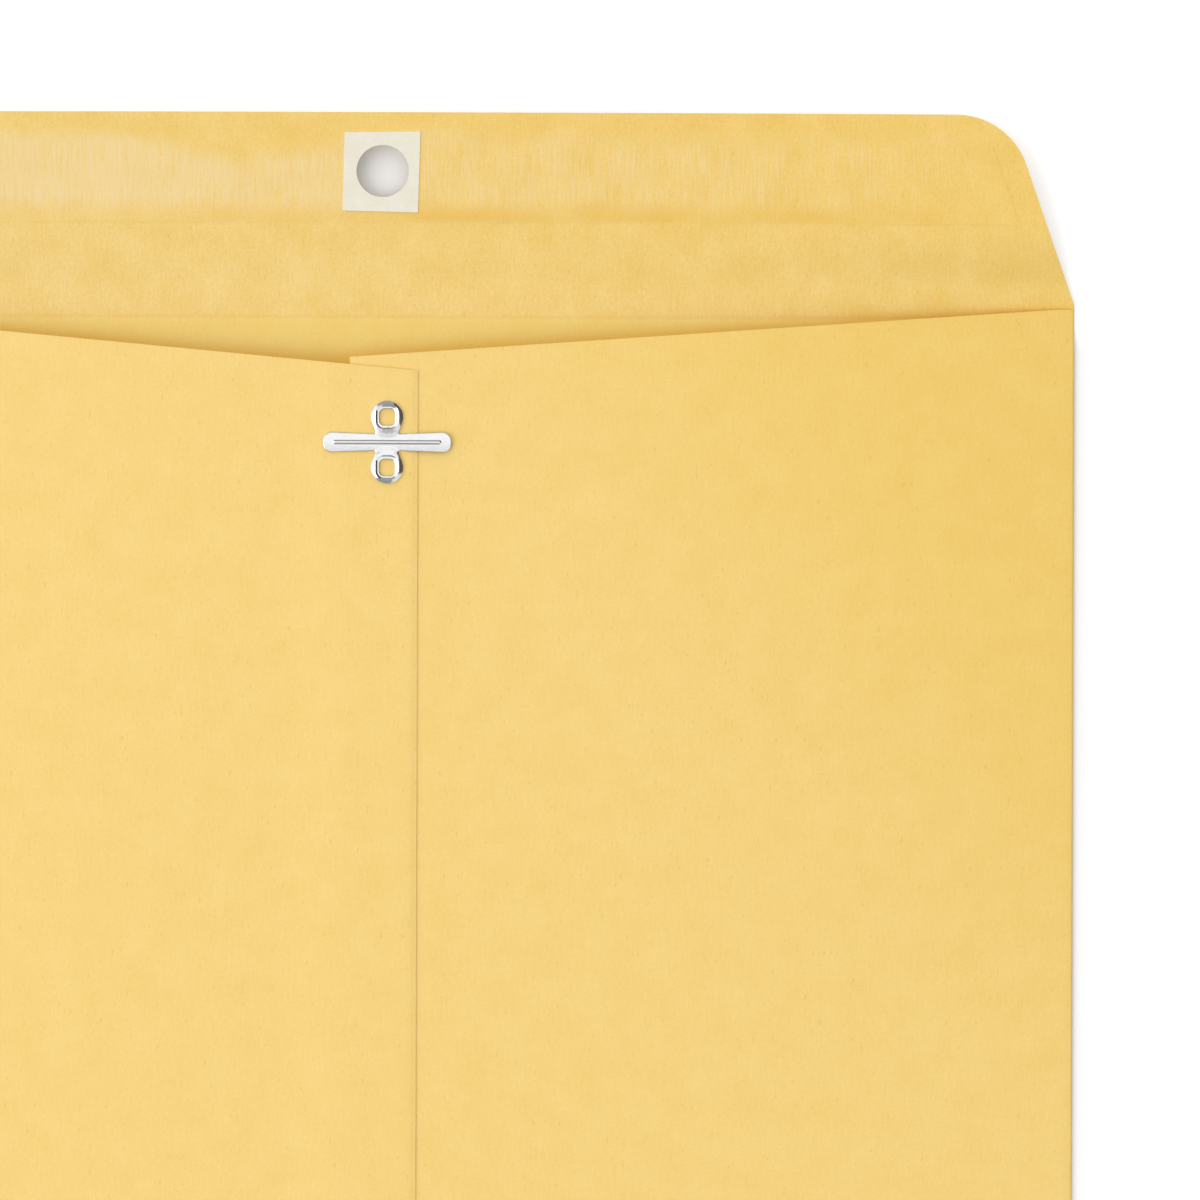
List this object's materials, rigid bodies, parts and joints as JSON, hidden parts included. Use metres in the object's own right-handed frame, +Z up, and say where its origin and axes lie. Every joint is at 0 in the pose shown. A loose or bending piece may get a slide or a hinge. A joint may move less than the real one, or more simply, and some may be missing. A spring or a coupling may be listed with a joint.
{
  "type": "clasp envelope",
  "caption": "Flat kraft paper clasp envelope, open at one short end, with a gummed punched flap and a metal clasp with two bendable prongs.",
  "frame": {"origin": "middle of the address face, on the surface that the envelope lies on", "axes": "+X across the width, +Y along the length towards the seal flap, +Z up out of the seam side"},
  "size_m": [0.254, 0.3661, 0.007],
  "materials": {
    "kraft_paper": "golden kraft paper, matt, faintly mottled with fine fibres",
    "flap_gum": "dried remoistenable gum on kraft paper, cloudy satin gloss with fine streaks",
    "patch_paper": "cream reinforcing paper, matt",
    "dry_glue": "thin dry dextrin glue line",
    "tinned_steel": "bright tin plate, stamped and slightly rounded"
  },
  "bodies": {
    "pocket": {"front_panel": "kraft_paper", "right_back_panel": "kraft_paper", "left_back_panel": "kraft_paper", "centre_seam_glue": "dry_glue", "bottom_flap": "kraft_paper", "bottom_flap_glue": "dry_glue", "clasp_base": "tinned_steel"},
    "flap": {"seal_flap": "kraft_paper", "flap_gum_strip": "flap_gum", "flap_hole_patch": "patch_paper"},
    "left_prong": {"clasp_left_prong": "tinned_steel"},
    "right_prong": {"clasp_right_prong": "tinned_steel"}
  },
  "joints": [
    {"name": "flap_fold", "type": "hinge", "parent": "pocket", "child": "flap", "pos_m": [0, 0.1651, 0.00395], "axis": [1, 0, 0], "range_deg": [0, 173]},
    {"name": "left_prong_bend", "type": "hinge", "parent": "pocket", "child": "left_prong", "pos_m": [-0.002, 0.14025, 0.00625], "axis": [0, 1, 0], "range_deg": [0, 90]},
    {"name": "right_prong_bend", "type": "hinge", "parent": "pocket", "child": "right_prong", "pos_m": [0.003, 0.14025, 0.00625], "axis": [0, -1, 0], "range_deg": [0, 90]}
  ]
}
